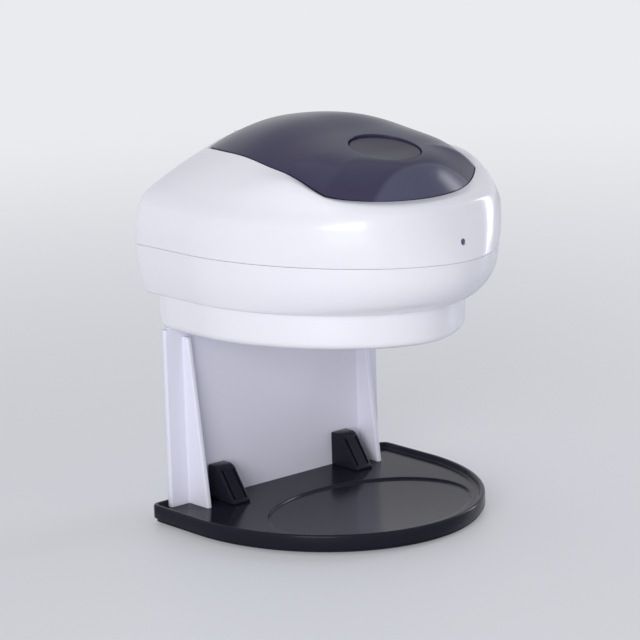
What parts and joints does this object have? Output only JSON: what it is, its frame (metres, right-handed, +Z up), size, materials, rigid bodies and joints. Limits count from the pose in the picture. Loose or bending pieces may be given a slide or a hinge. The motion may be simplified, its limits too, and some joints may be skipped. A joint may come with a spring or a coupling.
{
  "type": "automatic soap dispenser",
  "caption": "Touch-free soap dispenser: domed tank head with a hinged smoky lid, held over a black drip tray by an upright white back panel.",
  "frame": {"origin": "on the table plane under the feet, in the mirror plane, halfway along the head's depth", "axes": "+Z up, +Y towards the wall behind the dispenser, so the front faces -Y, +X to the right when looking along +Y"},
  "size_m": [0.1624, 0.1554, 0.2051],
  "materials": {
    "shell_white": "glossy injection-moulded white",
    "panel_white": "satin white with a faint lavender cast",
    "lid_smoky": "glossy smoky grey, slightly see-through",
    "tray_black": "glossy black",
    "foot_rubber": "matt black",
    "tank_clear": "milky translucent",
    "cap_grey": "matt",
    "silicone": "translucent silicone",
    "gear_white": "natural acetal",
    "inner_grey": "matt moulded",
    "steel": "zinc plated",
    "motor_steel": "drawn can",
    "contact_brass": "plain",
    "cell_jacket": "plain dark jacket",
    "board_green": "solder mask",
    "lens_dark": "dark infrared-clear",
    "led_blue": "clear tinted lens"
  },
  "bodies": {
    "housing": {"drip_tray": "tray_black", "tray_foot_rear_right": "foot_rubber", "tray_foot_rear_left": "foot_rubber", "tray_foot_front_right": "foot_rubber", "tray_foot_front_left": "foot_rubber", "back_panel": "panel_white", "panel_clip_right": "tray_black", "panel_clip_left": "tray_black", "clip_screw_right": "steel", "clip_screw_left": "steel", "upper_shell": "shell_white", "lower_shell": "shell_white", "base_cover": "shell_white", "rear_cover": "panel_white", "rear_cover_screw_right": "steel", "rear_cover_screw_left": "steel", "panel_screw_right": "steel", "panel_screw_left": "steel", "base_screw_rear_right": "steel", "base_screw_rear_left": "steel", "base_screw_front_right": "steel", "base_screw_front_left": "steel", "led_lens": "led_blue", "lid_hinge_pin": "steel", "soap_tank": "tank_clear", "inlet_tube": "silicone", "battery_box": "inner_grey", "battery_cell_rear_right": "cell_jacket", "battery_cell_rear_left": "cell_jacket", "battery_cell_front_right": "cell_jacket", "battery_cell_front_left": "cell_jacket", "battery_contact_right": "contact_brass", "battery_contact_left": "contact_brass", "motor": "motor_steel", "reduction_shaft": "steel", "drive_bracket": "inner_grey", "pump_body": "gear_white", "pump_cover": "gear_white", "idler_pin": "steel", "nozzle": "inner_grey", "nozzle_valve": "silicone", "circuit_board": "board_green", "sensor_window": "lens_dark", "ir_emitter": "lens_dark", "ir_receiver": "lens_dark", "switch_body": "inner_grey"},
    "lid_unit": {"lid": "lid_smoky", "button_retainer": "inner_grey", "button_spring": "steel"},
    "button": {"lid_button": "lid_smoky"},
    "cap": {"tank_cap": "cap_grey", "cap_seal": "silicone"},
    "door": {"battery_door": "shell_white"},
    "switch": {"switch_slider": "tray_black"},
    "motor_rotor": {"motor_shaft": "steel", "motor_pinion": "contact_brass"},
    "reduction": {"reduction_gear": "gear_white"},
    "pump_drive": {"pump_drive_gear": "steel", "pump_wheel": "gear_white"},
    "pump_idler": {"pump_idler_gear": "steel"}
  },
  "joints": [
    {"name": "lid_hinge", "type": "hinge", "parent": "housing", "child": "lid_unit", "pos_m": [0, 0.07295, 0.1929], "axis": [-1, 0, 0], "range_deg": [0, 75]},
    {"name": "button_press", "type": "slide", "parent": "lid_unit", "child": "button", "axis": [0, 0, -1], "range_m": [0, 0.0015], "stiffness_N_per_m": 600, "springref_m": -0.001, "deforming": ["button_spring"]},
    {"name": "cap_twist", "type": "hinge", "parent": "housing", "child": "cap", "pos_m": [0, 0.02625, 0.18], "axis": [0, 0, 1], "range_deg": [0, 60]},
    {"name": "battery_door_hinge", "type": "hinge", "parent": "housing", "child": "door", "pos_m": [0, 0.0608, 0.10205], "axis": [1, 0, 0], "range_deg": [0, 95]},
    {"name": "power_switch_slide", "type": "slide", "parent": "housing", "child": "switch", "axis": [1, 0, 0], "range_m": [0, 0.004]},
    {"name": "pump_drive_spin", "type": "hinge", "parent": "housing", "child": "pump_drive", "pos_m": [0, -0.01225, 0.116], "axis": [1, 0, 0], "continuous": true},
    {"name": "pump_idler_spin", "type": "hinge", "parent": "housing", "child": "pump_idler", "pos_m": [0, -0.02425, 0.116], "axis": [1, 0, 0], "continuous": true},
    {"name": "reduction_spin", "type": "hinge", "parent": "housing", "child": "reduction", "pos_m": [0, 0.0012, 0.11803], "axis": [1, 0, 0], "continuous": true},
    {"name": "motor_spin", "type": "hinge", "parent": "housing", "child": "motor_rotor", "pos_m": [0, 0.01515, 0.112], "axis": [1, 0, 0], "continuous": true}
  ],
  "couplings": [
    {"joint": "pump_idler_spin", "follows": "pump_drive_spin", "ratio": -1},
    {"joint": "reduction_spin", "follows": "pump_drive_spin", "ratio": -2.4},
    {"joint": "motor_spin", "follows": "pump_drive_spin", "ratio": 6.72}
  ]
}
